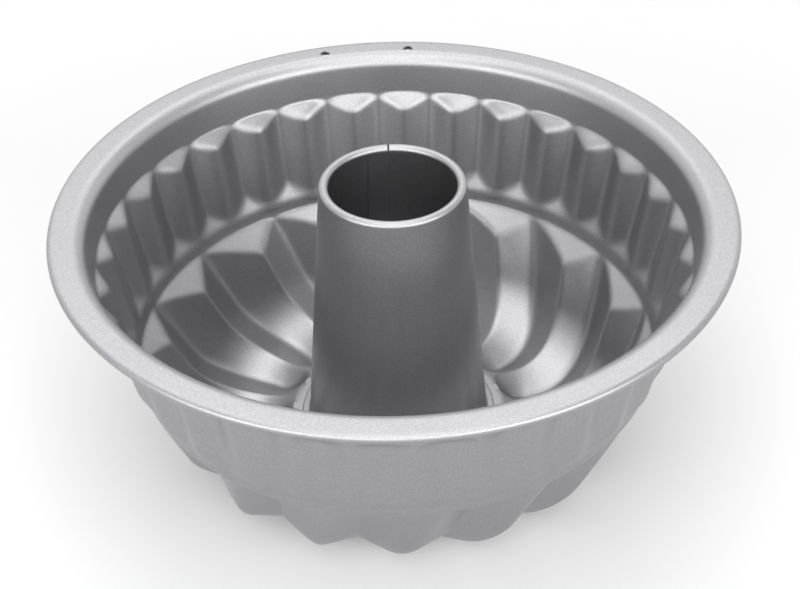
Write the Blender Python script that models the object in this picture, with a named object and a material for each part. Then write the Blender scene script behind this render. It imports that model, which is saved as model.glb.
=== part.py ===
"""Fluted tube pan: a pressed fluted shell with a rolled tube clinched into its hub.

Metres, +Z up. The origin is on the table under the middle of the pan, and the back of
the pan, with the seam of the tube and the two hanging holes, is towards +Y. Angles
round the pan are measured from +Y towards +X.
"""

import math

import bmesh
import bpy
from mathutils import Matrix, Vector

# Sheet and fit
SHEET = 0.0006
FIT_GAP = 0.0003

# Rim: a flat flange whose outer edge is curled down
RIM_RADIUS = 0.1235
RIM_HEIGHT = 0.1024
RIM_WIDTH = 0.0129
CURL_RADIUS = 0.0017
CURL_TURN = math.radians(225)
THROAT_FILLET = 0.0055

# Collar: the plain cone between the rim and the flutes
COLLAR_DEPTH = 0.0157
COLLAR_DRAFT = math.radians(8.7)

# Hanging holes in the flange
HOLE_RADIUS = 0.00195
HOLE_INSET = 0.0068
HOLE_ANGLES = (math.radians(-12.9), math.radians(3.8))

# Flutes: the upper tier has two to each flute of the lower tier
LOWER_FLUTES = 16
FLUTE_PHASE = math.radians(2.96)

# Upper tier: straight flutes from the collar down to the ring
UPPER_DEPTH = 0.0374
UPPER_NARROWING = 0.0107
UPPER_LEDGE_WIDTH = 0.0053
UPPER_LEDGE_SLOPE = math.radians(41)
UPPER_FOOT_SLOPE = math.radians(56)
CREASE_DRAFT = math.radians(12.8)
CREASE_WIDTH = 0.0014
UPPER_RIDGE_WIDTH = 0.0030

# Ring: the plain step between the tiers
RING_HEIGHT = 0.0050
RING_NARROWING = 0.0013

# Lower tier: swirled flutes that curve in over the floor to the hub
LOWER_LEDGE_WIDTH = 0.0095
LOWER_LEDGE_SLOPE = math.radians(35)
VALLEY_DRAFT = math.radians(23)
VALLEY_CORNER = 0.031
VALLEY_WIDTH = 0.0026
RIDGE_DRAFT = math.radians(21.1)
RIDGE_CORNER = 0.0266
RIDGE_RISE = math.radians(19.4)
LOWER_RIDGE_WIDTH = 0.0013
SCOOP_SLOPE = math.radians(50)
SCOOP_CORNER = 0.012
SCOOP_TIP_SPREAD = 0.3
SWIRL_TURN = math.radians(14.3)
SWIRL_REACH = 0.0300
SWIRL_BLEND = 0.0130
RIDGE_LAG = math.radians(1.15)

# Hub: the flat ring of the shell that the tube is clinched to
HUB_HEIGHT = 0.0090
HUB_WIDTH = 0.0068

# Tube: a rolled cone with a lapped seam, its lip rolled in
TUBE_HEIGHT = 0.1143
TUBE_TOP_RADIUS = 0.0265
TUBE_BASE_RADIUS = 0.0342
LIP_RADIUS = 0.00175
LIP_TURN = math.radians(225)
BEAD_WIDTH = 0.0029
FOOT_FILLET = 0.0008
CLINCH_WIDTH = 0.0040
CLINCH_CHAMFER = 0.0003
SEAM_ANGLE = math.radians(-3.0)
SEAM_LAP = 0.0077
SEAM_EDGE = 0.00015
SLIT_WIDTH = 0.0009
SLIT_DEPTH = 0.0026

# How far a cutter runs past the metal, the height below which the sheet is laid flat,
# and the most of a straight run that the rounding of its corner may take
CUT_PAST = 0.0015
TABLE_SNAP = 0.00008
CORNER_ROOM = 0.95

# How finely the round stretches are cut, and from which angle an edge stays sharp
CURL_STEPS = 5
FILLET_STEPS = 3
BEAD_STEPS = 3
CORNER_STEPS = 5
SCOOP_STEPS = 2
TIP_STEPS = 3
FLANK_STEPS = 3
PATH_STEPS = 48
TUBE_STEPS = 60
HOLE_STEPS = 20
FOLD_ANGLE = math.radians(30)

# Worked out from the sizes above
UPPER_FLUTES = 2 * LOWER_FLUTES
FEATURES = 2 * UPPER_FLUTES
FEATURE_STEP = 2 * math.pi / FEATURES
COLLAR_TOP_RADIUS = RIM_RADIUS - RIM_WIDTH
COLLAR_RADIUS = COLLAR_TOP_RADIUS - COLLAR_DEPTH * math.tan(COLLAR_DRAFT)
COLLAR_HEIGHT = RIM_HEIGHT - COLLAR_DEPTH
RING_TOP_RADIUS = COLLAR_RADIUS - UPPER_NARROWING
RING_TOP_HEIGHT = COLLAR_HEIGHT - UPPER_DEPTH
RING_RADIUS = RING_TOP_RADIUS - RING_NARROWING
RING_FOOT_HEIGHT = RING_TOP_HEIGHT - RING_HEIGHT
HUB_RADIUS = TUBE_BASE_RADIUS + HUB_WIDTH
HUB_HOLE_RADIUS = TUBE_BASE_RADIUS + FIT_GAP
BOWL_CENTRE = ((HUB_RADIUS + RING_RADIUS) / 2, RING_FOOT_HEIGHT)


def clear_scene():
    """Start from an empty scene."""
    for obj in list(bpy.data.objects):
        bpy.data.objects.remove(obj, do_unlink=True)


def coated_steel(name, colour, roughness, metallic=1.0):
    """Non-stick coated steel as a plain Principled material."""
    material = bpy.data.materials.new(name)
    material.use_nodes = True
    shader = material.node_tree.nodes["Principled BSDF"]
    shader.inputs["Base Color"].default_value = (*colour, 1.0)
    shader.inputs["Roughness"].default_value = roughness
    shader.inputs["Metallic"].default_value = metallic
    return material


def around(radius, height, angle):
    """The point at this radius and height, turned from +Y towards +X."""
    return Vector((radius * math.sin(angle), radius * math.cos(angle), height))


def arc(centre, radius, start, end, steps):
    """Points (r, z) on an arc from one angle to another, both ends included."""
    turns = [start + (end - start) * i / steps for i in range(steps + 1)]
    return [(centre[0] + radius * math.cos(t), centre[1] + radius * math.sin(t)) for t in turns]


def rounded_corner(before, corner, after, radius, steps):
    """The arc (r, z) that rounds a corner between two straight runs.

    Its radius is smaller than asked where the shorter run has no room for it.
    """
    corner = Vector(corner)
    back, ahead = Vector(before) - corner, Vector(after) - corner
    half = back.angle(ahead) / 2
    room = CORNER_ROOM * min(back.length, ahead.length)
    radius = min(radius, room * math.tan(half))
    back, ahead = back.normalized(), ahead.normalized()
    centre = corner + (back + ahead).normalized() * radius / math.sin(half)
    first = corner + back * radius / math.tan(half) - centre
    last = corner + ahead * radius / math.tan(half) - centre
    start = math.atan2(first.y, first.x)
    turn = first.angle_signed(last)
    return arc(centre, radius, start, start - turn, steps)


def rim_path():
    """The upper side of the curl, the flange and the throat, down to the collar."""
    centre = (RIM_RADIUS - CURL_RADIUS, RIM_HEIGHT - CURL_RADIUS)
    top = math.pi / 2
    curl = arc(centre, CURL_RADIUS, top - CURL_TURN, top, CURL_STEPS)
    throat = rounded_corner(
        (RIM_RADIUS, RIM_HEIGHT),
        (COLLAR_TOP_RADIUS, RIM_HEIGHT),
        (COLLAR_RADIUS, COLLAR_HEIGHT),
        THROAT_FILLET,
        FILLET_STEPS,
    )
    return curl + throat


def upper_rows():
    """Heights of the upper tier's rows, with the radius of its creases and ridges.

    The cavity is the ledge's cone joined with the zigzag wall, and the foot's cone
    closes it at the ring. Only the four levels where these meet are needed.
    """
    ledge_drop = UPPER_LEDGE_WIDTH * math.tan(UPPER_LEDGE_SLOPE)
    ridge_start = (COLLAR_RADIUS - UPPER_LEDGE_WIDTH, COLLAR_HEIGHT - ledge_drop)
    crease_slope = math.tan(CREASE_DRAFT)
    foot_slope = 1 / math.tan(UPPER_FOOT_SLOPE)
    crease_rise = (UPPER_NARROWING - UPPER_DEPTH * crease_slope) / (foot_slope - crease_slope)
    crease_end = RING_TOP_HEIGHT + crease_rise
    ridge_run = (ridge_start[0] - RING_TOP_RADIUS) / (ridge_start[1] - RING_TOP_HEIGHT)
    rows = [(COLLAR_HEIGHT, COLLAR_RADIUS, COLLAR_RADIUS)]
    for height in (ridge_start[1], crease_end, RING_TOP_HEIGHT):
        crease = COLLAR_RADIUS - (COLLAR_HEIGHT - height) * crease_slope
        crease = min(crease, RING_TOP_RADIUS + (height - RING_TOP_HEIGHT) * foot_slope)
        ridge = RING_TOP_RADIUS + (height - RING_TOP_HEIGHT) * ridge_run
        rows.append((height, crease, ridge))
    return rows


def valley_path():
    """The profile (r, z) of a lower valley: wall, floor, scoop end and hub edge.

    Its floor's start, its scoop's start and its scoop's end come with it.
    """
    start = (RING_RADIUS, RING_FOOT_HEIGHT)
    wall_run = (RING_FOOT_HEIGHT - SHEET) * math.tan(VALLEY_DRAFT)
    corner = (RING_RADIUS - wall_run, SHEET)
    hub = (HUB_RADIUS, HUB_HEIGHT)
    scoop = (HUB_RADIUS + (HUB_HEIGHT - SHEET) / math.tan(SCOOP_SLOPE), SHEET)
    scoop_arc = rounded_corner(corner, scoop, hub, SCOOP_CORNER, PATH_STEPS)
    wall_arc = rounded_corner(start, corner, scoop_arc[0], VALLEY_CORNER, PATH_STEPS)
    path = [start] + wall_arc + scoop_arc + [hub]
    return path, wall_arc[-1], scoop_arc[0], scoop_arc[-1]


def ridge_path():
    """The profile (r, z) of a lower ridge: wall, then a low rise to the hub edge."""
    ledge_drop = LOWER_LEDGE_WIDTH * math.tan(LOWER_LEDGE_SLOPE)
    ridge_start = RING_RADIUS - LOWER_LEDGE_WIDTH
    slope = math.tan(RIDGE_DRAFT)
    start = (ridge_start + ledge_drop * slope, RING_FOOT_HEIGHT)
    above_hub = start[0] - HUB_RADIUS - (RING_FOOT_HEIGHT - HUB_HEIGHT) * slope
    rise = math.tan(RIDGE_RISE)
    run = above_hub / (1 + rise * slope)
    corner = (HUB_RADIUS + run, HUB_HEIGHT - run * rise)
    hub = (HUB_RADIUS, HUB_HEIGHT)
    return [start] + rounded_corner(start, corner, hub, RIDGE_CORNER, PATH_STEPS) + [hub]


def bowl_angle(point):
    """The angle below the horizontal at which the bowl's centre sees a point (r, z)."""
    return math.atan2(BOWL_CENTRE[1] - point[1], point[0] - BOWL_CENTRE[0])


def reach(path, angle):
    """How far a profile lies from the bowl's centre along a ray at this angle."""
    ray = Vector((math.cos(angle), -math.sin(angle)))
    centre = Vector(BOWL_CENTRE)
    for first, second in zip(path, path[1:]):
        if bowl_angle(second) >= angle - 1e-9:
            a = Vector(first) - centre
            run = Vector(second) - Vector(first)
            return (a.x * run.y - a.y * run.x) / (ray.x * run.y - ray.y * run.x)
    return (Vector(path[-1]) - centre).length


def ledge_reach(angle):
    """How far the lower ledge's cone lies from the bowl's centre at this angle."""
    width = RING_RADIUS - BOWL_CENTRE[0]
    return width * math.sin(LOWER_LEDGE_SLOPE) / math.sin(LOWER_LEDGE_SLOPE + angle)


def ledge_meets(valley, ridge, share):
    """The angle where the ledge meets the flank, share of the way up to the ridge."""
    low, high = 0.0, math.pi / 2
    for _ in range(PATH_STEPS):
        middle = (low + high) / 2
        wall = reach(valley, middle) * (1 - share) + reach(ridge, middle) * share
        if ledge_reach(middle) > wall:
            low = middle
        else:
            high = middle
    return high


def lower_angles(valley, ridge, marks):
    """The bowl angles of the lower tier's rows, from the ring's foot to the hub.

    marks are the points where the valley's floor, scoop and tip start.
    """
    floor, scoop, tip = [bowl_angle(mark) for mark in marks]
    hub = bowl_angle((HUB_RADIUS, HUB_HEIGHT))
    angles = [ledge_meets(valley, ridge, i / FLANK_STEPS) for i in range(1, FLANK_STEPS + 1)]
    stretches = ((angles[-1], floor, CORNER_STEPS), (floor, scoop, 1))
    stretches += ((scoop, tip, SCOOP_STEPS), (tip, hub, TIP_STEPS))
    for start, end, steps in stretches:
        angles += [start + (end - start) * i / steps for i in range(1, steps + 1)]
    return angles


def soft_min(a, b, blend):
    """The smaller of two values, with the corner between them rounded."""
    near = max(blend - abs(a - b), 0.0) / blend
    return min(a, b) - near * near * blend / 4


def swirl(radius, share):
    """How far a point of the lower tier is turned.

    The turn grows from the ring inwards and ends over the floor. A ridge lags a little
    behind the middle between its valleys.
    """
    inward = max(RING_RADIUS - radius, 0.0)
    lag = RIDGE_LAG * share * min(inward / LOWER_LEDGE_WIDTH, 1.0)
    return SWIRL_TURN * soft_min(inward, SWIRL_REACH, SWIRL_BLEND) / SWIRL_REACH - lag


def upper_row(height, crease, ridge):
    """One ring of points of the upper tier: two for each crease and each ridge."""
    points = []
    for feature in range(FEATURES):
        is_crease = feature % 2 == 1
        radius = crease if is_crease else ridge
        width = CREASE_WIDTH if is_crease else UPPER_RIDGE_WIDTH
        angle = FLUTE_PHASE + feature * FEATURE_STEP
        for side in (-1, 1):
            points.append(around(radius, height, angle + side * width / 2 / radius))
    return points


def lower_row(place, spread=1.0):
    """One ring of points of the lower tier.

    place gives (r, z) for a share of the way from valley to ridge. Every flute has two
    points in its valley, two on each flank and one on each ridge beside it. spread is
    how far the flanks reach towards the ridges' middles, less than 1 where a scoop ends.
    """
    shares = [i / FLANK_STEPS for i in range(FLANK_STEPS + 1)]
    columns = [(-1, share) for share in reversed(shares)] + [(1, share) for share in shares]
    points = []
    for flute in range(LOWER_FLUTES):
        valley = FLUTE_PHASE + (4 * flute + 2) * FEATURE_STEP
        for side, share in columns:
            radius, height = place(share)
            near = VALLEY_WIDTH / 2 / radius
            far = 2 * FEATURE_STEP - LOWER_RIDGE_WIDTH / 2 / radius
            offset = near + (far - near) * spread * share
            turn = valley + side * offset + swirl(radius, share)
            points.append(around(radius, height, turn))
    return points[-1:] + points[:-1]


def plain_row(radius, height, turned=0.0):
    """One ring of points of a plain round stretch: one for each crease and ridge."""
    turns = [FLUTE_PHASE + turned + feature * FEATURE_STEP for feature in range(FEATURES)]
    return [around(radius, height, turn) for turn in turns]


def lower_rows():
    """Rings of points of the lower tier below the ring's foot, each with its fold.

    From the tip's start on, the outline of each scoop closes like a half ellipse.
    """
    valley, *marks = valley_path()
    ridge = ridge_path()
    ledge_end = ledge_meets(valley, ridge, 1)
    tip_start = bowl_angle(marks[-1])
    tip_depth = reach(valley, tip_start) - reach(ridge, tip_start)
    rows = []
    for angle in lower_angles(valley, ridge, marks):
        low, high = reach(valley, angle), reach(ridge, angle)
        on_ledge = angle <= ledge_end

        def place(share, angle=angle, low=low, high=high, on_ledge=on_ledge):
            wall = low * (1 - share) + high * share
            distance = max(wall, ledge_reach(angle)) if on_ledge else wall
            radius = BOWL_CENTRE[0] + distance * math.cos(angle)
            return radius, BOWL_CENTRE[1] - distance * math.sin(angle)

        gone = 1 - min(max((low - high) / tip_depth, 0.0), 1.0)
        spread = max(math.sqrt(1 - gone**2), SCOOP_TIP_SPREAD) if angle > tip_start else 1.0
        rows.append((lower_row(place, spread), -1 if on_ledge else 0))
    return rows


def shell_rows():
    """Rings of points over the shell's upper side, from the curl's end to the hub's hole.

    Each comes with how the band up to it is folded: -1 keeps the diagonals nearer the
    axis, 1 the ones further out, and 0 the shorter ones.
    """
    rows = [(plain_row(radius, height), 0) for radius, height in rim_path()]
    folds = (0, -1, 0, 1)
    for (height, crease, ridge), fold in zip(upper_rows(), folds):
        rows.append((upper_row(height, crease, ridge), fold))
    ring = (RING_RADIUS, RING_FOOT_HEIGHT)
    rows.append((lower_row(lambda share: ring), 0))
    rows += lower_rows()
    rows.append((plain_row(HUB_HOLE_RADIUS, HUB_HEIGHT, SWIRL_TURN), 0))
    return rows


def band_faces(upper, lower, fold):
    """Triangles between two rings of vertices, where one may have half the other's points."""
    faces = []
    plain_upper = len(upper) < len(lower)
    plain_lower = len(lower) < len(upper)
    if plain_upper or plain_lower:
        plain, full = (upper, lower) if plain_upper else (lower, upper)
        for i, vertex in enumerate(plain):
            following = plain[(i + 1) % len(plain)]
            near, far = full[2 * i], full[2 * i + 1]
            beyond = full[(2 * i + 2) % len(full)]
            faces += [(vertex, near, far), (vertex, far, following), (far, beyond, following)]
        if plain_lower:
            faces = [tuple(reversed(face)) for face in faces]
        return faces
    for i, a in enumerate(upper):
        b = upper[(i + 1) % len(upper)]
        c, d = lower[(i + 1) % len(lower)], lower[i]
        if fold:
            first = (a.co + c.co).xy.length * fold
            second = (b.co + d.co).xy.length * fold
            use_first = first > second
        else:
            use_first = (a.co - c.co).length < (b.co - d.co).length
        if use_first:
            faces += [(a, d, c), (a, c, b)]
        else:
            faces += [(a, d, b), (b, d, c)]
    return faces


def sheet_mesh(name, rows):
    """A closed sheet of even thickness below rings of points."""
    mesh = bmesh.new()
    upper = [[mesh.verts.new(point) for point in points] for points, _ in rows]
    triangles = []
    for (above, below), (_, fold) in zip(zip(upper, upper[1:]), rows[1:]):
        triangles += band_faces(above, below, fold)
    for face in triangles:
        mesh.faces.new(face)
    mesh.normal_update()
    lowered = []
    for vertex in mesh.verts:
        point = vertex.co - vertex.normal * SHEET * vertex.calc_shell_factor()
        if abs(point.z) < TABLE_SNAP:
            point.z = 0.0
        lowered.append((vertex, point))
    under = {vertex: mesh.verts.new(point) for vertex, point in lowered}
    for face in triangles:
        mesh.faces.new([under[vertex] for vertex in reversed(face)])
    for ring in (upper[0], upper[-1]):
        for i, vertex in enumerate(ring):
            following = ring[(i + 1) % len(ring)]
            edge = [vertex, following, under[following], under[vertex]]
            mesh.faces.new(edge if ring is upper[0] else list(reversed(edge)))
    bmesh.ops.recalc_face_normals(mesh, faces=mesh.faces)
    return finish_mesh(name, mesh)


def finish_mesh(name, mesh):
    """A smooth-shaded object from a bmesh, with its folds kept sharp."""
    data = bpy.data.meshes.new(name)
    mesh.to_mesh(data)
    mesh.free()
    data.shade_smooth()
    data.set_sharp_from_angle(angle=FOLD_ANGLE)
    obj = bpy.data.objects.new(name, data)
    bpy.context.scene.collection.objects.link(obj)
    return obj


def cutter(name, mesh):
    """A guide object that only cuts others."""
    obj = finish_mesh(name, mesh)
    obj.hide_render = True
    obj.display_type = "WIRE"
    return obj


def cut(obj, tool):
    """Take a cutter's shape out of an object."""
    modifier = obj.modifiers.new(tool.name, "BOOLEAN")
    modifier.operation = "DIFFERENCE"
    modifier.solver = "EXACT"
    modifier.object = tool


def hole_cutter(index, angle):
    """A round drill through the flange, clear of the curl."""
    mesh = bmesh.new()
    bmesh.ops.create_cone(
        mesh,
        cap_ends=True,
        segments=HOLE_STEPS,
        radius1=HOLE_RADIUS,
        radius2=HOLE_RADIUS,
        depth=SHEET + 2 * CUT_PAST,
        matrix=Matrix.Translation(around(RIM_RADIUS - HOLE_INSET, RIM_HEIGHT - SHEET / 2, angle)),
    )
    return cutter(f"hole_cutter_{index}", mesh)


def make_shell():
    """The pressed shell, from its curled rim to the hole in its hub."""
    shell = sheet_mesh("fluted_shell", shell_rows())
    shell.data.materials.append(coated_steel("shell_coat", (0.33, 0.33, 0.34), 0.43))
    for index, angle in enumerate(HOLE_ANGLES):
        cut(shell, hole_cutter(index, angle))
    return shell


def tube_profile():
    """The tube's closed section (r, z), and which points the seam's lap thickens.

    It runs over the outside from the end of the rolled lip to the foot's bead, through
    the hub's hole, round the clinched edge and back up the bore.
    """
    lip = (TUBE_TOP_RADIUS - LIP_RADIUS, TUBE_HEIGHT - LIP_RADIUS)
    outside = arc(lip, LIP_RADIUS, LIP_TURN, 0.0, CURL_STEPS)
    inside = arc(lip, LIP_RADIUS - SHEET, 0.0, LIP_TURN, CURL_STEPS)
    bead_low = HUB_HEIGHT + FIT_GAP
    bead_high = bead_low + 2 * SHEET
    bead_edge = TUBE_BASE_RADIUS + BEAD_WIDTH
    foot = rounded_corner(
        (TUBE_TOP_RADIUS, TUBE_HEIGHT - LIP_RADIUS),
        (TUBE_BASE_RADIUS, bead_high),
        (bead_edge, bead_high),
        FOOT_FILLET,
        FILLET_STEPS,
    )
    bead_centre = (bead_edge - SHEET, bead_low + SHEET)
    bead = arc(bead_centre, SHEET, math.pi / 2, -math.pi / 2, BEAD_STEPS)
    clinch_high = HUB_HEIGHT - SHEET - FIT_GAP
    clinch_low = clinch_high - SHEET
    clinch_edge = TUBE_BASE_RADIUS + CLINCH_WIDTH
    clinch = [
        (TUBE_BASE_RADIUS, bead_low),
        (TUBE_BASE_RADIUS, clinch_high),
        (clinch_edge, clinch_high),
        (clinch_edge, clinch_low),
        (TUBE_BASE_RADIUS - SHEET + CLINCH_CHAMFER, clinch_low),
        (TUBE_BASE_RADIUS - SHEET, clinch_low + CLINCH_CHAMFER),
    ]
    bore = [(TUBE_BASE_RADIUS - SHEET, bead_high), inside[0]]
    profile = [(*point, False) for point in outside + foot + bead + clinch]
    profile += [(*point, True) for point in bore]
    return profile + [(*point, False) for point in inside[1:]]


def tube_turns():
    """Angles round the tube, each with whether the seam's lap lies there.

    The lap's two edges have a turn on either side, a hair apart.
    """
    lap = SEAM_LAP / TUBE_TOP_RADIUS
    edge = SEAM_EDGE / TUBE_TOP_RADIUS
    step = 2 * math.pi / TUBE_STEPS
    lap_steps = max(1, round(lap / step))
    open_steps = TUBE_STEPS - lap_steps
    lap_start = SEAM_ANGLE - lap
    turns = [(lap_start + lap * i / lap_steps, True) for i in range(lap_steps + 1)]
    start, end = SEAM_ANGLE + edge, lap_start - edge + 2 * math.pi
    turns += [(start + (end - start) * i / open_steps, False) for i in range(open_steps + 1)]
    return turns


def slit_cutter():
    """A wedge, point down, for the slit where the lip's two ends meet."""
    mesh = bmesh.new()
    low, high = TUBE_HEIGHT - SLIT_DEPTH, TUBE_HEIGHT + CUT_PAST
    half = SLIT_WIDTH / 2 * (high - low) / SLIT_DEPTH
    near, far = TUBE_TOP_RADIUS - 2 * LIP_RADIUS - CUT_PAST, TUBE_TOP_RADIUS + CUT_PAST
    turn = Matrix.Rotation(-SEAM_ANGLE, 4, "Z")
    ends = []
    for y in (near, far):
        corners = ((0.0, y, low), (half, y, high), (-half, y, high))
        ends.append([mesh.verts.new(turn @ Vector(corner)) for corner in corners])
    mesh.faces.new(ends[0])
    mesh.faces.new(reversed(ends[1]))
    for i in range(3):
        j = (i + 1) % 3
        mesh.faces.new((ends[0][i], ends[1][i], ends[1][j], ends[0][j]))
    bmesh.ops.recalc_face_normals(mesh, faces=mesh.faces)
    return cutter("slit_cutter", mesh)


def make_tube():
    """The rolled tube, clinched through the hub's hole."""
    mesh = bmesh.new()
    columns = []
    for turn, lapped in tube_turns():
        column = []
        for radius, height, thickened in tube_profile():
            inner = radius - SHEET if lapped and thickened else radius
            column.append(mesh.verts.new(around(inner, height, turn)))
        columns.append(column)
    for i, column in enumerate(columns):
        following = columns[(i + 1) % len(columns)]
        for j, vertex in enumerate(column):
            k = (j + 1) % len(column)
            mesh.faces.new((vertex, column[k], following[k], following[j]))
    bmesh.ops.recalc_face_normals(mesh, faces=mesh.faces)
    tube = finish_mesh("centre_tube", mesh)
    tube.data.materials.append(coated_steel("tube_coat", (0.33, 0.33, 0.34), 0.43))
    cut(tube, slit_cutter())
    return tube


clear_scene()
make_shell()
make_tube()
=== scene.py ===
# %% [markdown]
# # Dressing a fluted tube pan
#
# The CAD model of this pan is packed already. It has the right sizes, but few faces and
# plain grey paint. This notebook loads it as a fixed frame and gives each of its two
# pieces a finely cut surface with a coating like the real one. Then it lights them the
# way a shop photograph of a pale metal object is lit.
#
# Everything here is in metres. +Z is up, the pan stands on the table at z = 0 with its
# middle over the origin, and the two hanging holes are at the back, towards +Y.

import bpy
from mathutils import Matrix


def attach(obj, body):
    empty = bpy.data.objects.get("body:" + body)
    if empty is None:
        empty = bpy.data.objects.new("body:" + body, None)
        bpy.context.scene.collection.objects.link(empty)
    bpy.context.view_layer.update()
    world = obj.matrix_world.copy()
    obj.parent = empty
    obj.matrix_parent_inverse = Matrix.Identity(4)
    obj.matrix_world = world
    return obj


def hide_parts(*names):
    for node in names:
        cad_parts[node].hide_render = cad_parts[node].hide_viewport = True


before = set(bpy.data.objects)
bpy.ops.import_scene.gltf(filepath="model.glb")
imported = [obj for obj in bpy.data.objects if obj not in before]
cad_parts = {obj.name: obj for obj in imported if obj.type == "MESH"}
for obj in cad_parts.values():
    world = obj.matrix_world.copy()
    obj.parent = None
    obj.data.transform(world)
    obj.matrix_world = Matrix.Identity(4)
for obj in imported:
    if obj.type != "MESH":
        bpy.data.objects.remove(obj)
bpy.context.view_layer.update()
print("packed pieces:", sorted(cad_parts))

# %% Tools for the rest of the notebook
import math

import bmesh
import bpy
import numpy as np
from mathutils import Matrix, Vector

# %% [markdown]
# ## How a pressed pan gets its shape
#
# The shell is one round sheet of steel that a press pushes into a fluted die. Its
# surface is easiest to describe as rings: each ring is one turn round the axis, and
# from ring to ring we walk along the profile, from the curled edge down to the hub.
# Where a ring crosses a flute, its points move in and out.
#
# A modeller could sculpt this or use a subdivision cage, but sixteen swirling flutes
# made by hand never come out alike. A formula repeats them exactly and can be cut as
# finely as the render needs, so that is the way chosen here.
#
# The first thing to settle is where round the pan the points of a ring lie. Every
# crease and ridge falls on a multiple of one small step, so we crowd the points near
# those lines, where the metal bends most, and spread them over the flat flanks.

# %% Angles round the pan, crowded at the creases and ridges
LOWER_FLUTES = 16
FEATURES = 4 * LOWER_FLUTES
FEATURE_STEP = 2 * math.pi / FEATURES
FLUTE_PHASE = math.radians(2.96)
POINTS_PER_STEP = 8


def crowded(count, crowding=0.7):
    """Shares from 0 to 1, closer together at both ends."""
    share = np.linspace(0.0, 1.0, count, endpoint=False)
    return share - crowding * np.sin(2 * math.pi * share) / (2 * math.pi)


feature_starts = np.arange(FEATURES)[:, None]
turns = (FLUTE_PHASE + (feature_starts + crowded(POINTS_PER_STEP)) * FEATURE_STEP).ravel()
print("points in a ring:", len(turns))

# %% [markdown]
# ## Rounding where two surfaces meet
#
# A press can't make a knife edge: sheet metal always bends over a small radius. When
# two simple surfaces meet, such as a flank and a ledge, the cavity follows whichever is
# further out. `max` of two distances gives that with a hard corner. The two helpers
# here do the same but round the corner off within a chosen distance.

# %% Soft maximum and minimum


def soft_max(a, b, blend):
    """The larger of two values, with the corner between them rounded."""
    near = np.maximum(blend - np.abs(a - b), 0.0) / blend
    return np.maximum(a, b) + near * near * blend / 4


def soft_min(a, b, blend):
    """The smaller of two values, with the corner between them rounded."""
    return -soft_max(-a, -b, blend)


print("two equal walls, blended over 1 mm, end at", soft_max(0.0, 0.0, 1.0), "mm")

# %% [markdown]
# ## One flute, seen along its length
#
# Across a flute the metal runs like a soft zigzag: 0 at the bottom of the valley, 1 on
# the ridge, straight in between and rounded at both. `flute_wave` gives that share.
# The widths of the rounded strips are real widths in metres, so they have to be
# compared with the distance round the pan at that radius.

# %% The soft zigzag of a flute


def flute_wave(turn, radius, steps_apart, valley_width, ridge_width, spread=1.0):
    """How far from valley (0) to ridge (1) a point is.

    steps_apart is how many feature steps lie between a valley and its ridges.
    """
    half_period = steps_apart * FEATURE_STEP
    from_valley = np.abs(((turn - FLUTE_PHASE) / half_period) % 2.0 - 1.0) * half_period
    near = valley_width / 2
    flank = half_period * radius - near - ridge_width / 2
    share = (from_valley * radius - near) / (flank * spread)
    share = soft_max(share, 0.0, valley_width / 2 / flank)
    return soft_min(share, 1.0, ridge_width / 2 / flank)


halfway = flute_wave(FLUTE_PHASE + FEATURE_STEP / 2, 0.1, 1, 0.001, 0.001)
print("share halfway up a flank:", float(halfway))


def ring_points(radius, height, turn):
    """Points at these radii, heights and turns, as one array of rings."""
    radius, height, turn = np.broadcast_arrays(radius, height, turn)
    return np.stack([radius * np.sin(turn), radius * np.cos(turn), height], axis=-1)


# %% [markdown]
# ## The rim
#
# The outer edge of the sheet is curled down over itself, so that nobody cuts a finger
# and the pan stays round. From the curl the profile runs in over the flat flange,
# bends down through a small fillet, and becomes the plain collar. All of this is plain
# turned work: arcs and straight runs. An arc needs only its centre, radius and two
# angles, and a fillet follows from the two runs that it joins.

# %% Arcs and fillets
SHEET = 0.0006


def arc(centre, radius, start, end, steps):
    """Points (r, z) on an arc, both ends included."""
    angle = np.linspace(start, end, steps + 1)
    out = centre[0] + radius * np.cos(angle)
    up = centre[1] + radius * np.sin(angle)
    return np.stack([out, up], axis=1)


def rounded_corner(before, corner, after, radius, steps):
    """The arc (r, z) that rounds a corner between two straight runs."""
    corner = Vector(corner)
    back = (Vector(before) - corner).normalized()
    ahead = (Vector(after) - corner).normalized()
    half = back.angle(ahead) / 2
    centre = corner + (back + ahead).normalized() * radius / math.sin(half)
    first = corner + back * radius / math.tan(half) - centre
    last = corner + ahead * radius / math.tan(half) - centre
    start = math.atan2(first.y, first.x)
    return arc(centre, radius, start, start - first.angle_signed(last), steps)


def run(start, end, steps):
    """Points (r, z) on a straight run, both ends left out."""
    share = np.linspace(0.0, 1.0, steps + 1)[1:-1, None]
    return np.array(start) * (1 - share) + np.array(end) * share


# %% Rim, flange and collar
RIM_RADIUS = 0.1235
RIM_HEIGHT = 0.1024
RIM_WIDTH = 0.0129
CURL_RADIUS = 0.0017
CURL_TURN = math.radians(225)
THROAT_FILLET = 0.0055
COLLAR_DEPTH = 0.0157
COLLAR_DRAFT = math.radians(8.7)

throat_radius = RIM_RADIUS - RIM_WIDTH
collar_radius = throat_radius - COLLAR_DEPTH * math.tan(COLLAR_DRAFT)
collar_height = RIM_HEIGHT - COLLAR_DEPTH
curl_centre = (RIM_RADIUS - CURL_RADIUS, RIM_HEIGHT - CURL_RADIUS)
curl = arc(curl_centre, CURL_RADIUS, math.pi / 2 - CURL_TURN, math.pi / 2, 14)
throat = rounded_corner(
    (RIM_RADIUS, RIM_HEIGHT),
    (throat_radius, RIM_HEIGHT),
    (collar_radius, collar_height),
    THROAT_FILLET,
    12,
)
rim_profile = np.vstack([curl, run(curl[-1], throat[0], 5), throat])
rim_rings = ring_points(rim_profile[:, :1], rim_profile[:, 1:], turns[None, :])
print("rings in the rim:", len(rim_rings), "opening in mm:", round(throat_radius * 2000, 1))

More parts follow.
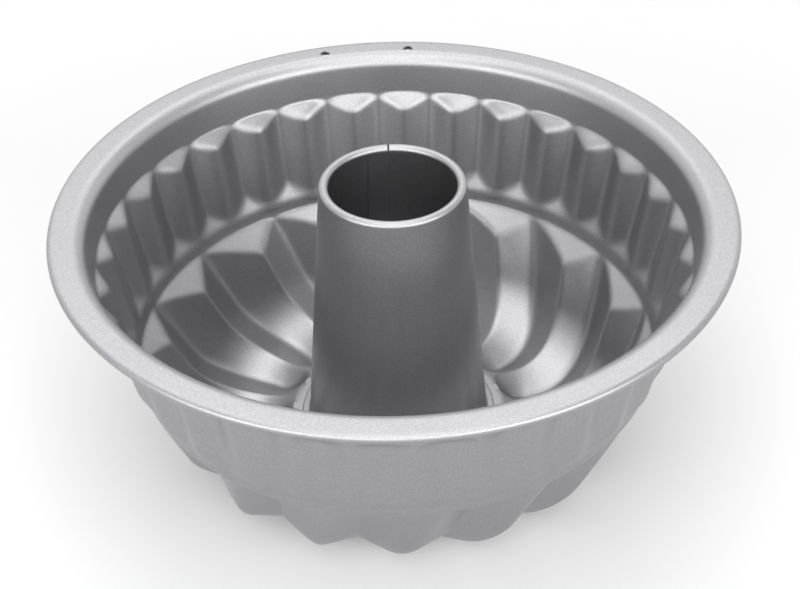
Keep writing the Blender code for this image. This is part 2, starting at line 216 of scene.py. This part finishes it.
# %% [markdown]
# ## The upper flutes
#
# Below the collar there are thirty-two straight flutes. Three simple cones shape them
# besides the zigzag wall: a slanted ledge at the top, the slanted foot at the bottom,
# and the plain ring below. Going down ring by ring, we take the zigzag wall, let the
# ledge push it out near the top, and let the foot and the ring hold it in below.
# The result is the row of leaf-shaped facets that the photograph shows.

# %% Upper flutes, from the collar to the middle of the ring
UPPER_DEPTH = 0.0374
UPPER_NARROWING = 0.0107
UPPER_LEDGE_WIDTH = 0.0046
UPPER_LEDGE_SLOPE = math.radians(36)
UPPER_FOOT_SLOPE = math.radians(56)
CREASE_DRAFT = math.radians(12.8)
CREASE_WIDTH = 0.0017
UPPER_RIDGE_WIDTH = 0.0034
RING_HEIGHT = 0.0050
RING_NARROWING = 0.0013
LEDGE_TOP_EDGE = 0.0008
LEDGE_FOOT_EDGE = 0.0034
FOOT_EDGE = 0.0012
RING_TOP_EDGE = 0.0006

ring_top_radius = collar_radius - UPPER_NARROWING
ring_top_height = collar_height - UPPER_DEPTH
ring_radius = ring_top_radius - RING_NARROWING
ring_foot_height = ring_top_height - RING_HEIGHT
ring_middle = ring_foot_height + RING_HEIGHT / 2
ledge_foot = collar_height - UPPER_LEDGE_WIDTH * math.tan(UPPER_LEDGE_SLOPE)


def upper_radius(height, turn):
    """How far out the inner surface lies at this height."""
    down = collar_height - height
    up = height - ring_top_height
    crease = collar_radius - down * math.tan(CREASE_DRAFT)
    ridge_width = collar_radius - UPPER_LEDGE_WIDTH - ring_top_radius
    ridge = ring_top_radius + up * (ridge_width / (ledge_foot - ring_top_height))
    wave = flute_wave(turn, (crease + ridge) / 2, 1, CREASE_WIDTH, UPPER_RIDGE_WIDTH)
    wall = crease + (ridge - crease) * wave
    ledge = collar_radius - down / math.tan(UPPER_LEDGE_SLOPE)
    foot = ring_top_radius + up / math.tan(UPPER_FOOT_SLOPE)
    ring = ring_top_radius + up * RING_NARROWING / RING_HEIGHT
    collar = collar_radius - down * math.tan(COLLAR_DRAFT)
    radius = soft_max(wall, ledge, LEDGE_FOOT_EDGE)
    radius = soft_min(radius, soft_max(foot, ring, RING_TOP_EDGE), FOOT_EDGE)
    return soft_min(radius, collar, LEDGE_TOP_EDGE)


def levels(*stretches):
    """Values from stretch to stretch; each is (start, end, steps) and leaves out its end."""
    return np.concatenate([np.linspace(a, b, n, endpoint=False) for a, b, n in stretches])


# Rings lie close where the ledge and the foot bend the metal, and wide apart between.
BELOW_THROAT = 0.0010
ABOVE_LEDGE = 0.0020
BELOW_LEDGE = 0.0055
ABOVE_RING = 0.0080

collar_foot = collar_height + ABOVE_LEDGE
ledge_end_height = ledge_foot - BELOW_LEDGE
foot_top = ring_top_height + ABOVE_RING
upper_heights = levels(
    (throat[-1][1] - BELOW_THROAT, collar_foot, 4),
    (collar_foot, ledge_end_height, 24),
    (ledge_end_height, foot_top, 6),
    (foot_top, ring_middle, 20),
)[:, None]
upper_turns = turns[None, :]
upper_rings = ring_points(upper_radius(upper_heights, upper_turns), upper_heights, upper_turns)
print("rings in the upper flutes:", len(upper_rings))

# %% [markdown]
# ## The lower flutes
#
# The sixteen lower flutes are bowl-shaped: they start as a wall and end as a floor, so
# height alone can't number their rings. We stand inside the bowl instead and look
# along rays from level to past straight down. Each ray meets the valley's profile and
# the ridge's profile at a distance, and the zigzag share picks a point between.
#
# The flutes also swirl. A point is turned by how far in from the ring it lies, more and
# more until 30 mm in, and from there on the scoops run straight in to the hub, where
# each one closes like half an ellipse. The ridges lag a little behind the valleys.

# %% Profiles of a valley and of a ridge
HUB_HEIGHT = 0.0090
HUB_RADIUS = 0.0410
VALLEY_DRAFT = math.radians(23)
VALLEY_CORNER = 0.031
SCOOP_SLOPE = math.radians(50)
SCOOP_CORNER = 0.012
LOWER_LEDGE_WIDTH = 0.0095
LOWER_LEDGE_SLOPE = math.radians(35)
RIDGE_DRAFT = math.radians(21.1)
RIDGE_CORNER = 0.0266
RIDGE_RISE = math.radians(19.4)

bowl_centre = ((HUB_RADIUS + ring_radius) / 2, ring_foot_height)
hub_edge = (HUB_RADIUS, HUB_HEIGHT)


def above(point, draft, rise=0.006):
    """The point (r, z) further up the same wall."""
    return (point[0] + rise * math.tan(draft), point[1] + rise)


wall_top = (ring_radius, ring_foot_height)
wall_foot = (ring_radius - (ring_foot_height - SHEET) * math.tan(VALLEY_DRAFT), SHEET)
scoop_foot = (HUB_RADIUS + (HUB_HEIGHT - SHEET) / math.tan(SCOOP_SLOPE), SHEET)
wall_arc = rounded_corner(wall_top, wall_foot, scoop_foot, VALLEY_CORNER, 40)
scoop_arc = rounded_corner(wall_foot, scoop_foot, hub_edge, SCOOP_CORNER, 20)
valley = np.vstack([above(wall_top, VALLEY_DRAFT), wall_arc, scoop_arc, hub_edge])

ledge_drop = LOWER_LEDGE_WIDTH * math.tan(LOWER_LEDGE_SLOPE)
ridge_top = (ring_radius - LOWER_LEDGE_WIDTH + ledge_drop * math.tan(RIDGE_DRAFT), ring_foot_height)
above_hub = (ridge_top[0] - HUB_RADIUS) - (ring_foot_height - HUB_HEIGHT) * math.tan(RIDGE_DRAFT)
ridge_run = above_hub / (1 + math.tan(RIDGE_RISE) * math.tan(RIDGE_DRAFT))
ridge_foot = (HUB_RADIUS + ridge_run, HUB_HEIGHT - ridge_run * math.tan(RIDGE_RISE))
ridge_arc = rounded_corner(ridge_top, ridge_foot, hub_edge, RIDGE_CORNER, 40)
ridge = np.vstack([above(ridge_top, RIDGE_DRAFT), ridge_arc, hub_edge])
print("lowest ridge in mm:", round(float(ridge[:, 1].min()) * 1000, 2))

# %% Distances from inside the bowl
SIDEWAYS = math.pi / 4


def bowl_angle(point):
    """The angle below level at which the bowl's centre sees a point (r, z)."""
    return math.atan2(bowl_centre[1] - point[1], point[0] - bowl_centre[0])


def reach(profile, angle):
    """How far away a profile lies along rays at these angles."""
    share = np.linspace(0.0, 1.0, 60)[:, None]
    dense = np.vstack([a * (1 - share) + b * share for a, b in zip(profile, profile[1:])])
    away = dense - np.array(bowl_centre)
    seen_at = np.arctan2(-away[:, 1], away[:, 0])
    return np.interp(angle, seen_at, np.hypot(away[:, 0], away[:, 1]))


bowl_width = ring_radius - bowl_centre[0]


def ledge_reach(angle):
    """How far away the slanted ledge below the ring lies."""
    seen = np.minimum(angle, math.pi / 2 - LOWER_LEDGE_SLOPE)
    return bowl_width * math.sin(LOWER_LEDGE_SLOPE) / np.sin(LOWER_LEDGE_SLOPE + seen)


def ring_reach(angle):
    """How far away the plain ring lies, as long as the ray looks mostly sideways."""
    seen = np.minimum(angle, SIDEWAYS)
    return bowl_width / (np.cos(seen) + np.sin(seen) * RING_NARROWING / RING_HEIGHT)


print("bowl centre in mm:", [round(v * 1000, 1) for v in bowl_centre])

# %% Lower flutes, from the middle of the ring to the hub
VALLEY_WIDTH = 0.0026
LOWER_RIDGE_WIDTH = 0.0013
SCOOP_TIP_SPREAD = 0.3
SWIRL_TURN = math.radians(14.3)
SWIRL_REACH = 0.0300
SWIRL_BLEND = 0.0130
RIDGE_LAG = math.radians(1.15)
LOWER_EDGE = 0.0015
RING_EDGE = 0.0006
LEDGE_END = math.radians(24)


def swirl(radius, share):
    """How far a point is turned: more and more from the ring in, and ridges a little less."""
    inward = np.maximum(ring_radius - radius, 0.0)
    lag = RIDGE_LAG * share * np.minimum(inward / LOWER_LEDGE_WIDTH, 1.0)
    return SWIRL_TURN * soft_min(inward, SWIRL_REACH, SWIRL_BLEND) / SWIRL_REACH - lag


ring_middle_radius = ring_radius + RING_NARROWING / 2
start_angle = bowl_angle((ring_middle_radius, ring_middle))
floor_angle = bowl_angle(wall_arc[-1])
scoop_angle = bowl_angle(scoop_arc[0])
tip_angle = bowl_angle(scoop_arc[-1])
hub_angle = bowl_angle(hub_edge)
angles = levels(
    (start_angle, LEDGE_END, 22),
    (LEDGE_END, floor_angle, 26),
    (floor_angle, scoop_angle, 5),
    (scoop_angle, tip_angle, 8),
    (tip_angle, hub_angle, 9),
)[:, None]

low, high = reach(valley, angles), reach(ridge, angles)
tip_depth = float(reach(valley, tip_angle) - reach(ridge, tip_angle))
gone = 1 - np.clip((low - high) / tip_depth, 0.0, 1.0)
spread = np.where(angles > tip_angle, np.maximum(np.sqrt(1 - gone**2), SCOOP_TIP_SPREAD), 1.0)
middle_radius = bowl_centre[0] + (low + high) / 2 * np.cos(angles)
wave = flute_wave(turns[None, :], middle_radius, 2, VALLEY_WIDTH, LOWER_RIDGE_WIDTH, spread)
distance = soft_max(low + (high - low) * wave, ledge_reach(angles), LOWER_EDGE)
held_in = soft_min(distance, ring_reach(angles), RING_EDGE)
distance = np.where(angles < SIDEWAYS, held_in, distance)
lower_radius = bowl_centre[0] + distance * np.cos(angles)
lower_turns = turns[None, :] + swirl(lower_radius, wave)
lower_rings = ring_points(lower_radius, bowl_centre[1] - distance * np.sin(angles), lower_turns)
print("rings in the lower flutes:", len(lower_rings))

# %% [markdown]
# ## The hub, and the whole sheet
#
# The hub is a flat ring round the hole that the tube goes through. With it the walk
# along the profile is complete, and all rings can be stacked into one grid of faces.
#
# That grid is only the inner face of the sheet. Solidify gives it its thickness. It
# works outwards from the inner face, because the inner face is the one that was
# measured, and it keeps the wall even round the bends. The hanging holes are drilled
# last, with a Boolean, as they are in the factory.

# %% Stack the rings into a mesh
TUBE_BASE_RADIUS = 0.0342
FIT_GAP = 0.0003

hub_radii = np.linspace(HUB_RADIUS, TUBE_BASE_RADIUS + FIT_GAP, 5)[:, None]
hub_rings = ring_points(hub_radii, HUB_HEIGHT, lower_turns[-1:])
shell_rings = np.concatenate([rim_rings, upper_rings, lower_rings, hub_rings])


def grid_object(name, rings, closed_section=False):
    """A mesh object from rings of points.

    closed_section also joins the last ring to the first.
    """
    count, around = rings.shape[:2]
    index = np.arange(count * around).reshape(count, around)
    if closed_section:
        upper, lower = index, np.roll(index, -1, axis=0)
    else:
        upper, lower = index[:-1], index[1:]
    corners = [upper, np.roll(upper, -1, axis=1), np.roll(lower, -1, axis=1), lower]
    faces = np.stack(corners, axis=-1).reshape(-1, 4)[:, ::-1]
    mesh = bpy.data.meshes.new(name)
    mesh.from_pydata(rings.reshape(-1, 3).tolist(), [], faces.tolist())
    mesh.shade_smooth()
    obj = bpy.data.objects.new(name, mesh)
    bpy.context.scene.collection.objects.link(obj)
    return obj


pressed_shell = grid_object("pressed_shell", shell_rings)
print("inner face:", len(pressed_shell.data.polygons), "faces")

# %% Thicken the sheet and drill the hanging holes
HOLE_RADIUS = 0.00195
HOLE_INSET = 0.0068
HOLE_ANGLES = (math.radians(-12.9), math.radians(3.8))
DRILL_SIDES = 48
DRILL_LENGTH = 6 * SHEET
SHELL_SHARP_EDGE = math.radians(40)


def apply_modifiers(obj):
    """Make an object's modifiers part of its mesh."""
    evaluated = obj.evaluated_get(bpy.context.evaluated_depsgraph_get())
    obj.data = bpy.data.meshes.new_from_object(evaluated)
    obj.modifiers.clear()


def cut_away(obj, tool):
    """Subtract a tool from an object and delete the tool."""
    boolean = obj.modifiers.new(tool.name, "BOOLEAN")
    boolean.operation = "DIFFERENCE"
    boolean.solver = "MANIFOLD"
    boolean.object = tool
    apply_modifiers(obj)
    bpy.data.objects.remove(tool)


def hole_drill(place):
    """A round drill, standing upright."""
    mesh = bmesh.new()
    bmesh.ops.create_cone(
        mesh,
        cap_ends=True,
        segments=DRILL_SIDES,
        radius1=HOLE_RADIUS,
        radius2=HOLE_RADIUS,
        depth=DRILL_LENGTH,
        matrix=Matrix.Translation(place),
    )
    data = bpy.data.meshes.new("hole_drill")
    mesh.to_mesh(data)
    mesh.free()
    tool = bpy.data.objects.new("hole_drill", data)
    bpy.context.scene.collection.objects.link(tool)
    return tool


solidify = pressed_shell.modifiers.new("sheet", "SOLIDIFY")
solidify.thickness = SHEET
solidify.offset = -1.0
solidify.use_even_offset = True
apply_modifiers(pressed_shell)
for hole_angle in HOLE_ANGLES:
    place = ring_points(RIM_RADIUS - HOLE_INSET, RIM_HEIGHT - SHEET / 2, hole_angle)
    cut_away(pressed_shell, hole_drill(place.tolist()))
pressed_shell.data.shade_smooth()
pressed_shell.data.set_sharp_from_angle(angle=SHELL_SHARP_EDGE)
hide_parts("fluted_shell")
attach(pressed_shell, "root")
print("pressed shell:", len(pressed_shell.data.polygons), "faces")

# %% [markdown]
# ## The tube
#
# The tube is a strip of the same steel, rolled into a slightly narrowing cone. Its two
# ends overlap in a lap seam, which shows inside as an upright step. The top edge is
# rolled inwards, and at the seam a small V is left where the ends of the roll meet. At
# the foot the metal is folded into a bead that sits on the hub, and below the hub it
# is turned out to hold the tube in place.
#
# One closed section turned round the axis makes all of that. Inside the lap the inner
# face steps in by one thickness, so the rings need the same section twice, with a hair
# between them, at each edge of the lap.

# %% Section of the tube
TUBE_HEIGHT = 0.1143
TUBE_TOP_RADIUS = 0.0265
LIP_RADIUS = 0.00175
LIP_TURN = math.radians(225)
BEAD_WIDTH = 0.0029
FOOT_FILLET = 0.0008
CLINCH_WIDTH = 0.0040
SEAM_ANGLE = math.radians(-3.0)
SEAM_LAP = 0.0077

lip_centre = (TUBE_TOP_RADIUS - LIP_RADIUS, TUBE_HEIGHT - LIP_RADIUS)
lip_outside = arc(lip_centre, LIP_RADIUS, LIP_TURN, 0.0, 18)
lip_inside = arc(lip_centre, LIP_RADIUS - SHEET, 0.0, LIP_TURN, 18)
bead_low = HUB_HEIGHT + FIT_GAP
bead_high = bead_low + 2 * SHEET
bead_edge = TUBE_BASE_RADIUS + BEAD_WIDTH
wall_end = (TUBE_BASE_RADIUS, bead_high)
foot = rounded_corner(lip_outside[-1], wall_end, (bead_edge, bead_high), FOOT_FILLET, 5)
bead = arc((bead_edge - SHEET, bead_low + SHEET), SHEET, math.pi / 2, -math.pi / 2, 8)
clinch_high = HUB_HEIGHT - SHEET - FIT_GAP
clinch_low = clinch_high - SHEET
clinch_edge = TUBE_BASE_RADIUS + CLINCH_WIDTH
clinch = [(TUBE_BASE_RADIUS, bead_low), (TUBE_BASE_RADIUS, clinch_high), (clinch_edge, clinch_high)]
clinch += [(clinch_edge, clinch_low), (TUBE_BASE_RADIUS - SHEET / 2, clinch_low)]
clinch += [(TUBE_BASE_RADIUS - SHEET, clinch_low + SHEET / 2)]
bore = np.vstack([(TUBE_BASE_RADIUS - SHEET, bead_high), lip_inside[:1]])
section = np.vstack([lip_outside, foot, bead, clinch, bore, lip_inside[1:]])
thickened = np.zeros(len(section), bool)
bore_start = len(section) - len(lip_inside) - 1
thickened[bore_start : bore_start + 2] = True
print("points in the tube's section:", len(section))

# %% Turn the section round, with the lap
LAP_EDGE = 0.00012
LAP_COLUMNS = 13
OPEN_COLUMNS = 180

lap = SEAM_LAP / TUBE_TOP_RADIUS
edge = LAP_EDGE / TUBE_TOP_RADIUS
lap_start = SEAM_ANGLE - lap
lapped_turns = np.linspace(lap_start, SEAM_ANGLE, LAP_COLUMNS)
open_end = lap_start - edge + 2 * math.pi
open_turns = np.linspace(SEAM_ANGLE + edge, open_end, OPEN_COLUMNS)
tube_turns = np.concatenate([lapped_turns, open_turns])
in_lap = np.arange(len(tube_turns)) < len(lapped_turns)
tube_radius = section[:, :1] - SHEET * (thickened[:, None] & in_lap[None, :])
tube_rings = ring_points(tube_radius, section[:, 1:], tube_turns[None, :])
rolled_tube = grid_object("rolled_tube", tube_rings, closed_section=True)
print("rolled tube:", len(rolled_tube.data.polygons), "faces")

# %% Cut the V in the lip
SLIT_WIDTH = 0.0009
SLIT_DEPTH = 0.0026
CUT_PAST = 0.0015
TUBE_SHARP_EDGE = math.radians(35)


def slit_wedge():
    """A wedge, point down, across the lip at the seam."""
    low_point, high_point = TUBE_HEIGHT - SLIT_DEPTH, TUBE_HEIGHT + CUT_PAST
    half = SLIT_WIDTH / 2 * (high_point - low_point) / SLIT_DEPTH
    corners = []
    for y in (TUBE_TOP_RADIUS - 2 * LIP_RADIUS - CUT_PAST, TUBE_TOP_RADIUS + CUT_PAST):
        corners += [(0.0, y, low_point), (half, y, high_point), (-half, y, high_point)]
    faces = [(0, 1, 2), (5, 4, 3), (0, 3, 4, 1), (1, 4, 5, 2), (2, 5, 3, 0)]
    to_seam = Matrix.Rotation(-SEAM_ANGLE, 3, "Z")
    data = bpy.data.meshes.new("slit_wedge")
    data.from_pydata([to_seam @ Vector(c) for c in corners], [], faces)
    tool = bpy.data.objects.new("slit_wedge", data)
    bpy.context.scene.collection.objects.link(tool)
    return tool


cut_away(rolled_tube, slit_wedge())
rolled_tube.data.shade_smooth()
rolled_tube.data.set_sharp_from_angle(angle=TUBE_SHARP_EDGE)
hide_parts("centre_tube")
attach(rolled_tube, "root")
print("rolled tube after the cut:", len(rolled_tube.data.polygons), "faces")

# %% [markdown]
# ## The coating
#
# The pan is sprayed with a silver-grey non-stick coat: metal flake in a clear binder
# over the steel. From afar it is an even satin grey. Close up it is finely speckled,
# slightly uneven in gloss, and has the faint orange peel of a sprayed film.
#
# A single grey would look like plastic, and a photograph of the speckle would be tied
# to one view. Noise textures in the object's own coordinates work at any distance and
# from any side. Three of them are used, each at its own real scale: flake of about half
# a millimetre in the colour, soft patches of a few centimetres in the gloss, and the
# orange peel as a bump.

# %% Noise and ramps


def add_noise(tree, name, scale, detail, where):
    """A noise texture in object coordinates."""
    coordinates = tree.nodes.get("coordinates") or tree.nodes.new("ShaderNodeTexCoord")
    coordinates.name = "coordinates"
    noise = tree.nodes.new("ShaderNodeTexNoise")
    noise.name = name
    noise.label = name
    noise.location = where
    noise.inputs["Scale"].default_value = scale
    noise.inputs["Detail"].default_value = detail
    tree.links.new(coordinates.outputs["Object"], noise.inputs["Vector"])
    return noise


def add_ramp(tree, source, stops, where):
    """A colour ramp over a texture's value."""
    ramp = tree.nodes.new("ShaderNodeValToRGB")
    ramp.location = where
    while len(ramp.color_ramp.elements) < len(stops):
        ramp.color_ramp.elements.new(0.5)
    for element, (position, colour) in zip(ramp.color_ramp.elements, stops):
        element.position = position
        element.color = (*colour, 1.0)
    tree.links.new(source, ramp.inputs["Fac"])
    return ramp


print("helpers ready: add_noise, add_ramp")

# %% A maker of coatings
FLAKE_SCALE = 2300.0
DARK_FLAKE = (0.34, (0.300, 0.299, 0.310))
LIGHT_FLAKE = (0.66, (0.382, 0.381, 0.396))
COAT_METALLIC = 1.0
COAT_ROUGHNESS = 0.41
GLOSS_SCALE = 34.0
GLOSS_CHANGE = 0.05
PEEL_SCALE = 1500.0
PEEL_STRENGTH = 0.25
PEEL_HEIGHT = 0.00006


def sprayed_coat(name):
    """A satin metal-flake coating between two greys."""
    material = bpy.data.materials.new(name)
    material.use_nodes = True
    tree = material.node_tree
    shader = tree.nodes["Principled BSDF"]
    shader.inputs["Metallic"].default_value = COAT_METALLIC
    flake = add_noise(tree, "flake", FLAKE_SCALE, 2.0, (-900, 300))
    colour = add_ramp(tree, flake.outputs["Fac"], [DARK_FLAKE, LIGHT_FLAKE], (-600, 300))
    tree.links.new(colour.outputs["Color"], shader.inputs["Base Color"])
    patches = add_noise(tree, "gloss patches", GLOSS_SCALE, 3.0, (-900, -50))
    gloss = tree.nodes.new("ShaderNodeMapRange")
    gloss.location = (-600, -50)
    gloss.inputs["To Min"].default_value = COAT_ROUGHNESS - GLOSS_CHANGE
    gloss.inputs["To Max"].default_value = COAT_ROUGHNESS + GLOSS_CHANGE
    tree.links.new(patches.outputs["Fac"], gloss.inputs["Value"])
    tree.links.new(gloss.outputs["Result"], shader.inputs["Roughness"])
    peel = add_noise(tree, "orange peel", PEEL_SCALE, 2.0, (-900, -400))
    bump = tree.nodes.new("ShaderNodeBump")
    bump.location = (-300, -400)
    bump.inputs["Strength"].default_value = PEEL_STRENGTH
    bump.inputs["Distance"].default_value = PEEL_HEIGHT
    tree.links.new(peel.outputs["Fac"], bump.inputs["Height"])
    tree.links.new(bump.outputs["Normal"], shader.inputs["Normal"])
    return material


# %% Coat both pieces
shell_coat = sprayed_coat("shell_coat")
tube_coat = sprayed_coat("tube_coat")
for piece, coat in ((pressed_shell, shell_coat), (rolled_tube, tube_coat)):
    piece.data.materials.clear()
    piece.data.materials.append(coat)
    print(piece.name, "is coated with", coat.name)

# %% [markdown]
# ## Table
#
# Shop photographs of pans are taken on a white sweep. The table here is a large white
# plane. To the camera, and in reflections, it also glows a little, so that it reads as
# clean white, while the shadow that the pan drops on it still shows. It lies a hair
# below the pan, so that no two faces share one plane.

# %% White table
TABLE_HALF = 3.0
TABLE_HEIGHT = -0.0002
TABLE_WHITE = (0.75, 0.75, 0.75, 1.0)
TABLE_GLOW = 0.10


def add_math(tree, operation, *inputs):
    """A math node fed by sockets or numbers."""
    node = tree.nodes.new("ShaderNodeMath")
    node.operation = operation
    for slot, value in zip(node.inputs, inputs):
        if isinstance(value, (int, float)):
            slot.default_value = value
        else:
            tree.links.new(value, slot)
    return node.outputs[0]


def seen_directly(tree):
    """1 for rays from the camera, a reflection or a see-through surface."""
    path = tree.nodes.new("ShaderNodeLightPath")
    seen = add_math(tree, "MAXIMUM", path.outputs["Is Camera Ray"], path.outputs["Is Glossy Ray"])
    return add_math(tree, "MAXIMUM", seen, path.outputs["Is Transmission Ray"])


corners = [(-1, -1), (1, -1), (1, 1), (-1, 1)]
places = [(x * TABLE_HALF, y * TABLE_HALF, TABLE_HEIGHT) for x, y in corners]
table_mesh = bpy.data.meshes.new("table")
table_mesh.from_pydata(places, [], [(0, 1, 2, 3)])
table = bpy.data.objects.new("table", table_mesh)
bpy.context.scene.collection.objects.link(table)

table_paint = bpy.data.materials.new("table_paint")
table_paint.use_nodes = True
tree = table_paint.node_tree
matt = tree.nodes["Principled BSDF"]
matt.inputs["Base Color"].default_value = TABLE_WHITE
matt.inputs["Roughness"].default_value = 1.0
matt.inputs["Specular IOR Level"].default_value = 0.0
glow = tree.nodes.new("ShaderNodeEmission")
glow.inputs["Color"].default_value = (1.0, 1.0, 1.0, 1.0)
glow_strength = add_math(tree, "MULTIPLY", seen_directly(tree), TABLE_GLOW)
tree.links.new(glow_strength, glow.inputs["Strength"])
both = tree.nodes.new("ShaderNodeAddShader")
tree.links.new(matt.outputs[0], both.inputs[0])
tree.links.new(glow.outputs[0], both.inputs[1])
tree.links.new(both.outputs[0], tree.nodes["Material Output"].inputs["Surface"])
table.data.materials.append(table_paint)
print("table is", 2 * TABLE_HALF, "m wide")

# %% [markdown]
# ## World, soft boxes and grey cards
#
# A metal coat has little colour of its own: it shows what stands round it, blurred. One
# lamp would give one hot streak and leave the flutes dull. So the pan stands among
# large soft boxes, one overhead, one high at the back and four in front, which light
# the flutes from many sides. Three dim ones at the sides towards the back do the work
# of a photographer's grey cards: they hide the white world there, and the flanks that
# mirror them go dark.
#
# Every box faces the pan from the same distance. It is set by how far round from the
# back and how far up it stands, and by how bright its surface is, where 1 is white
# paper. The world is white to the camera and in reflections, and a soft fill light to
# everything else.

# %% White world
WORLD_LIGHT = 0.30

world = bpy.data.worlds.new("studio")
bpy.context.scene.world = world
world.use_nodes = True
tree = world.node_tree
background = tree.nodes["Background"]
background.inputs["Color"].default_value = (1.0, 1.0, 1.0, 1.0)
strength = add_math(tree, "MULTIPLY", seen_directly(tree), 1.0 - WORLD_LIGHT)
tree.links.new(add_math(tree, "ADD", strength, WORLD_LIGHT), background.inputs["Strength"])
print("light that the world gives:", WORLD_LIGHT)

# %% Soft boxes and grey cards
PAN_MIDDLE = Vector((0.0, 0.0, 0.05))
BOX_DISTANCE = 2.0
BOX_HEIGHT = 1.15


def soft_box(name, turn, climb, width, radiance):
    """A bright rectangle, so many degrees round from the back and up, facing the pan."""
    turn, climb = math.radians(turn), math.radians(climb)
    level = BOX_DISTANCE * math.cos(climb)
    offset = (level * math.sin(turn), level * math.cos(turn), BOX_DISTANCE * math.sin(climb))
    place = PAN_MIDDLE + Vector(offset)
    lamp = bpy.data.lights.new(name, "AREA")
    lamp.shape = "RECTANGLE"
    lamp.size = width
    lamp.size_y = BOX_HEIGHT
    lamp.energy = radiance * width * BOX_HEIGHT * math.pi
    obj = bpy.data.objects.new(name, lamp)
    obj.location = place
    obj.rotation_euler = (PAN_MIDDLE - place).to_track_quat("-Z", "Y").to_euler()
    bpy.context.scene.collection.objects.link(obj)


soft_box("overhead_box", 0.0, 90.0, 1.6, 2.1)
soft_box("back_high_box", 0.0, 50.0, 1.5, 1.7)
soft_box("front_high_box", 180.0, 56.0, 1.5, 2.0)
soft_box("front_box", 180.0, 18.0, 1.6, 2.2)
soft_box("front_right_box", 135.0, 18.0, 1.6, 3.4)
soft_box("front_left_box", 225.0, 18.0, 1.6, 3.1)
soft_box("right_grey_card", 45.0, 18.0, 1.6, 0.45)
soft_box("left_grey_card", 315.0, 18.0, 1.6, 0.35)
soft_box("left_high_grey_card", 300.0, 50.0, 1.5, 0.5)

# %% [markdown]
# ## Camera
#
# The camera's place and lens were worked out from the photograph: the rim, the ring
# and the tube's lip are circles, and the way they flatten into ellipses gives the angle,
# while the change in size from front to back gives the distance.

# %% Camera
CAMERA_PLACE = (0.0, -0.55883, 0.48397)
CAMERA_TURN = (53.095, 1.139, -1.027)
CAMERA_LENS = 84.87
SENSOR_WIDTH = 36.0
NEAREST, FARTHEST = 0.01, 20.0

camera_data = bpy.data.cameras.new("camera")
camera_data.sensor_width = SENSOR_WIDTH
camera_data.lens = CAMERA_LENS
camera_data.clip_start = NEAREST
camera_data.clip_end = FARTHEST
camera = bpy.data.objects.new("camera", camera_data)
camera.location = CAMERA_PLACE
camera.rotation_euler = [math.radians(v) for v in CAMERA_TURN]
bpy.context.scene.collection.objects.link(camera)
bpy.context.scene.camera = camera
bpy.context.scene.view_settings.view_transform = "Standard"
print("camera at", CAMERA_PLACE)
